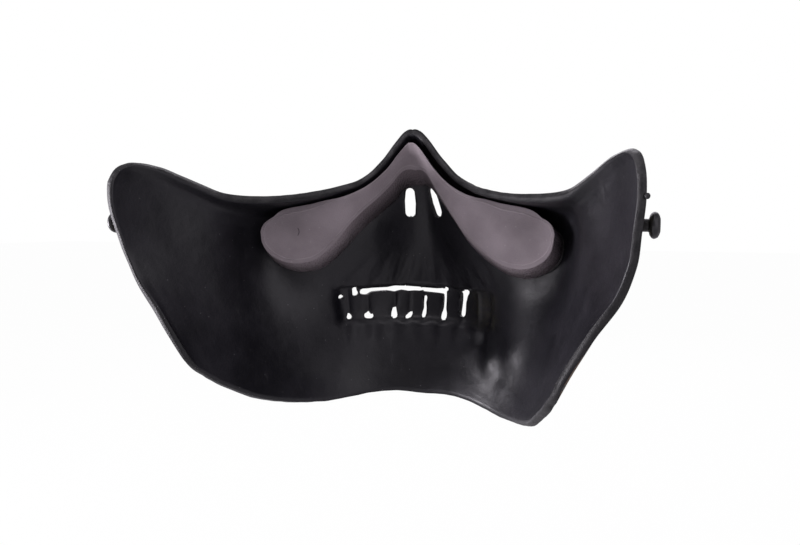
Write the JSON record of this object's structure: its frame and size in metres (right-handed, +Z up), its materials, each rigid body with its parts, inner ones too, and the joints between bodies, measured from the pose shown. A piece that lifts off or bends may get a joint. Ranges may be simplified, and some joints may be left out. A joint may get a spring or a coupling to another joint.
{
  "type": "face mask",
  "caption": "Lower half face mask in the form of a skull: one moulded shell with vents and tooth gaps, a foam nose pad and strap studs.",
  "frame": {"origin": "on the plane of symmetry, level with the strap studs, about 9 mm behind them in the open back of the mask", "axes": "+X to the wearer's left, +Y to the back of the wearer's head, so the mask faces -Y, and +Z up"},
  "size_m": [0.2038, 0.1066, 0.1253],
  "materials": {
    "shell_plastic": "satin black inside and on the cut edges, camouflage paint outside",
    "grey_foam": "soft closed-cell foam, matte",
    "adhesive_film": "thin double-sided adhesive film",
    "stud_plastic": "satin black"
  },
  "bodies": {
    "root": {"shell": "shell_plastic", "nose_pad_foam": "grey_foam", "pad_adhesive_film": "adhesive_film", "strap_stud_left": "stud_plastic", "strap_stud_right": "stud_plastic"}
  },
  "joints": []
}
